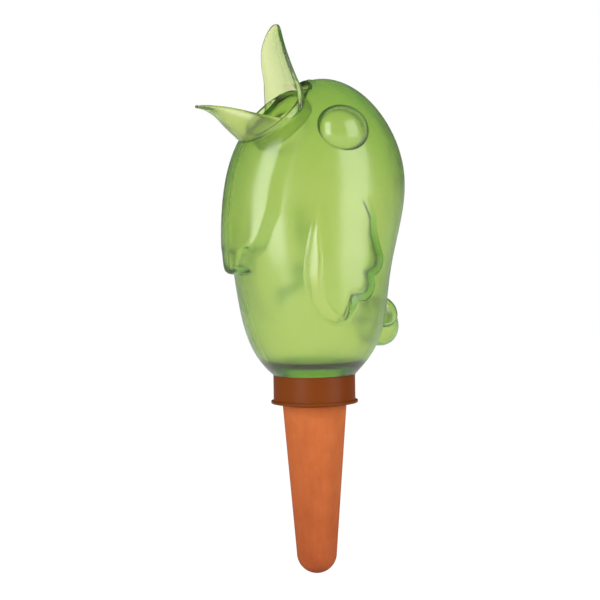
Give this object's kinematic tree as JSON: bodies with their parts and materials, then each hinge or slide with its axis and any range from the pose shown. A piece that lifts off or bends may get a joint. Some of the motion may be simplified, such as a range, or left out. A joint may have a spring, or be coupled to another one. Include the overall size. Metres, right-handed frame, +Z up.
{
  "type": "watering globe",
  "caption": "Hollow clear bird with an open beak as filling funnel, on a push-fit collar that holds a hollow clay cone seeping water into plant soil.",
  "frame": {"origin": "on the clay cone's axis at the soil line, the underside of the collar's lip", "axes": "+Z up along the cone's axis; the bird looks along -Y; its left side is at +X"},
  "size_m": [0.0708, 0.0989, 0.2398],
  "materials": {
    "clear_green_plastic": "clear moulded, polished",
    "brown_plastic": "translucent moulded",
    "black_rubber": "soft matte",
    "terracotta": "unglazed, matte, porous"
  },
  "bodies": {
    "spike": {"clay_cone": "terracotta"},
    "collar": {"collar": "brown_plastic", "sealing_washer": "black_rubber"},
    "globe": {"shell_left": "clear_green_plastic", "shell_right": "clear_green_plastic"}
  },
  "joints": [
    {"name": "collar_turn", "type": "hinge", "parent": "spike", "child": "collar", "pos_m": [0, 0, 0], "axis": [0, 0, 1], "continuous": true},
    {"name": "globe_lift", "type": "slide", "parent": "collar", "child": "globe", "axis": [0, 0, 1], "range_m": [0, 0.03]}
  ]
}
